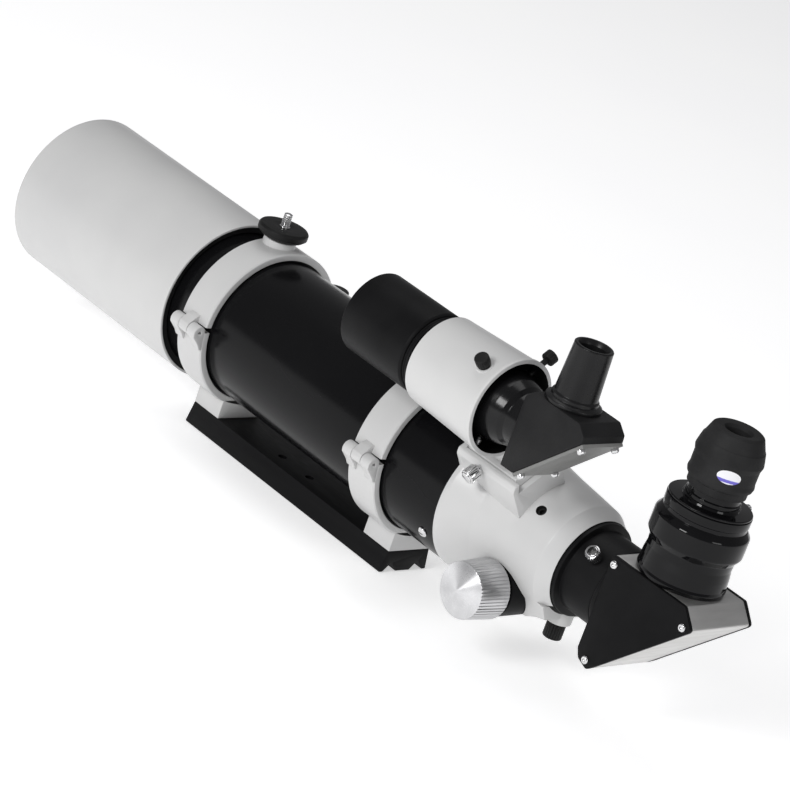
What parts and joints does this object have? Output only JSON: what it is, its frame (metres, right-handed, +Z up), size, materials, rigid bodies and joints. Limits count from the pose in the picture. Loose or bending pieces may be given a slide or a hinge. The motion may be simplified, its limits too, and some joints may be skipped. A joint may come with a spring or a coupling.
{
  "type": "refractor telescope",
  "caption": "Refractor telescope tube on hinged rings and a dovetail bar, with two-speed focuser, mirror diagonal, eyepiece and right-angle finder.",
  "frame": {"origin": "centre of the flat underside of the dovetail bar", "axes": "+Y along the tube towards the sky, +Z up from the bar to the tube, +X to the right for an observer behind the tube"},
  "size_m": [0.1812, 0.6688, 0.2405],
  "materials": {
    "tube_black": "gloss black paint",
    "white_paint": "satin white paint",
    "black_anodised": "satin black anodised",
    "silver_anodised": "turned, clear anodised",
    "steel": "bright plated",
    "satin_steel": "ground",
    "lens_glass": "coated, polished",
    "mirror_glass": "polished",
    "rubber_black": "matt moulded",
    "felt": "felt",
    "plastic_black": "fine grained",
    "plastic_grey": "smooth",
    "gloss_black": "high gloss black"
  },
  "bodies": {
    "tube_assembly": {"main_tube": "tube_black", "tube_baffles": "black_anodised", "objective_cell": "black_anodised", "objective_front_lens": "lens_glass", "objective_rear_lens": "lens_glass", "lens_retaining_ring": "black_anodised", "dew_shield": "white_paint", "dovetail_bar": "black_anodised", "ring_bolts": "steel", "front_ring_base": "white_paint", "rear_ring_base": "white_paint", "ring_base_felts": "felt", "ring_hinge_pins": "satin_steel", "focuser_housing": "white_paint", "focuser_screws": "steel", "focuser_bearings": "satin_steel", "shaft_block": "black_anodised"},
    "front_ring_cover": {"front_ring_top": "white_paint", "front_ring_felt": "felt", "piggyback_stud": "steel"},
    "rear_ring_cover": {"rear_ring_top": "white_paint", "rear_ring_felt": "felt"},
    "front_clamp": {"front_clamp_screw": "plastic_black"},
    "rear_clamp": {"rear_clamp_screw": "plastic_black"},
    "camera_disc": {"piggyback_disc": "plastic_black"},
    "drawtube_group": {"drawtube": "black_anodised", "eyepiece_adapter": "black_anodised"},
    "coarse_drive": {"focus_shaft": "satin_steel", "left_focus_knob": "silver_anodised", "right_focus_knob": "silver_anodised"},
    "fine_drive": {"fine_focus_knob": "black_anodised"},
    "tension": {"tension_screw": "black_anodised"},
    "adapter_screw_a": {"adapter_screw_left": "steel"},
    "adapter_screw_b": {"adapter_screw_right": "steel"},
    "diagonal": {"diagonal_nose": "steel", "diagonal_body": "silver_anodised", "diagonal_side_plates": "black_anodised", "diagonal_mirror": "mirror_glass", "diagonal_screws": "steel", "eyepiece_holder": "gloss_black"},
    "holder_lock": {"holder_screw": "steel"},
    "eyepiece": {"eyepiece_barrel": "steel", "eyepiece_body": "gloss_black", "eyepiece_lenses": "lens_glass", "eyecup": "rubber_black"},
    "shoe_lock": {"shoe_screw": "steel"},
    "finder_mount": {"finder_bracket": "white_paint", "bracket_lock_nuts": "black_anodised", "bracket_plunger": "satin_steel"},
    "finder_screw_a": {"bracket_screw_left": "plastic_black"},
    "finder_screw_b": {"bracket_screw_right": "plastic_black"},
    "finder": {"finder_tube": "gloss_black", "finder_o_ring": "rubber_black", "prism_housing": "plastic_black", "prism": "lens_glass", "prism_plate": "plastic_grey", "finder_eyepiece": "plastic_black"},
    "finder_lock": {"finder_lock_ring": "black_anodised"},
    "finder_front": {"finder_cell": "black_anodised", "finder_lens": "lens_glass"}
  },
  "joints": [
    {"name": "front_ring_hinge", "type": "hinge", "parent": "tube_assembly", "child": "front_ring_cover", "pos_m": [-0.063, 0.0943, 0.082], "axis": [0, -1, 0], "range_deg": [0, 95]},
    {"name": "rear_ring_hinge", "type": "hinge", "parent": "tube_assembly", "child": "rear_ring_cover", "pos_m": [-0.063, -0.0943, 0.082], "axis": [0, -1, 0], "range_deg": [0, 5]},
    {"name": "front_clamp_turn", "type": "hinge", "parent": "front_ring_cover", "child": "front_clamp", "pos_m": [0.0685, 0.0943, 0.1], "axis": [0, 0, 1], "range_deg": [-720, 720]},
    {"name": "rear_clamp_turn", "type": "hinge", "parent": "rear_ring_cover", "child": "rear_clamp", "pos_m": [0.0685, -0.0943, 0.1], "axis": [0, 0, 1], "range_deg": [-720, 720]},
    {"name": "camera_disc_turn", "type": "hinge", "parent": "front_ring_cover", "child": "camera_disc", "pos_m": [0, 0.098, 0.152], "axis": [0, 0, 1], "range_deg": [-720, 720]},
    {"name": "drawtube_slide", "type": "slide", "parent": "tube_assembly", "child": "drawtube_group", "axis": [0, -1, 0], "range_m": [0, 0.08]},
    {"name": "coarse_focus_turn", "type": "hinge", "parent": "tube_assembly", "child": "coarse_drive", "pos_m": [0, -0.2136, 0.05], "axis": [1, 0, 0], "range_deg": [0, 918]},
    {"name": "fine_focus_turn", "type": "hinge", "parent": "coarse_drive", "child": "fine_drive", "pos_m": [0, -0.2136, 0.05], "axis": [1, 0, 0], "range_deg": [0, 8252]},
    {"name": "tension_screw_turn", "type": "hinge", "parent": "tube_assembly", "child": "tension", "pos_m": [0, -0.244, 0.04], "axis": [0, 0, 1], "range_deg": [-720, 720]},
    {"name": "adapter_screw_left_turn", "type": "hinge", "parent": "drawtube_group", "child": "adapter_screw_a", "pos_m": [-0.02298, -0.271, 0.10358], "axis": [-0.766, 0, 0.6428], "range_deg": [-720, 720]},
    {"name": "adapter_screw_right_turn", "type": "hinge", "parent": "drawtube_group", "child": "adapter_screw_b", "pos_m": [0.02819, -0.271, 0.09456], "axis": [0.9397, 0, 0.342], "range_deg": [-720, 720]},
    {"name": "diagonal_turn", "type": "hinge", "parent": "drawtube_group", "child": "diagonal", "pos_m": [0, -0.27, 0.0843], "axis": [0, 1, 0], "range_deg": [0, 90]},
    {"name": "holder_screw_turn", "type": "hinge", "parent": "diagonal", "child": "holder_lock", "pos_m": [0, -0.32, 0.1654], "axis": [0.9903, -0.1392, 0], "range_deg": [-720, 720]},
    {"name": "eyepiece_slide", "type": "slide", "parent": "diagonal", "child": "eyepiece", "axis": [0, 0, 1], "range_m": [0, 0.04]},
    {"name": "shoe_screw_turn", "type": "hinge", "parent": "tube_assembly", "child": "shoe_lock", "pos_m": [-0.04953, -0.183, 0.12365], "axis": [-0.788, 0, -0.6157], "range_deg": [-720, 720]},
    {"name": "finder_mount_slide", "type": "slide", "parent": "tube_assembly", "child": "finder_mount", "axis": [0, -1, 0], "range_m": [0, 0.05]},
    {"name": "finder_screw_left_turn", "type": "hinge", "parent": "finder_mount", "child": "finder_screw_a", "pos_m": [-0.09084, -0.191, 0.19558], "axis": [-0.6947, 0, 0.7193], "range_deg": [-720, 720]},
    {"name": "finder_screw_right_turn", "type": "hinge", "parent": "finder_mount", "child": "finder_screw_b", "pos_m": [-0.04702, -0.191, 0.19328], "axis": [0.766, 0, 0.6428], "range_deg": [-720, 720]},
    {"name": "finder_aim", "type": "hinge", "parent": "finder_mount", "child": "finder", "pos_m": [-0.07, -0.145, 0.174], "axis": [1, 0, 0], "range_deg": [-1, 1]},
    {"name": "finder_lock_ring_turn", "type": "hinge", "parent": "finder", "child": "finder_lock", "pos_m": [-0.07, -0.132, 0.174], "axis": [0, 1, 0], "continuous": true},
    {"name": "finder_front_turn", "type": "hinge", "parent": "finder", "child": "finder_front", "pos_m": [-0.07, -0.12, 0.174], "axis": [0, 1, 0], "continuous": true}
  ],
  "couplings": [
    {"joint": "coarse_focus_turn", "follows": "drawtube_slide", "rad_per_m": 200},
    {"joint": "fine_focus_turn", "follows": "drawtube_slide", "rad_per_m": 1800}
  ]
}
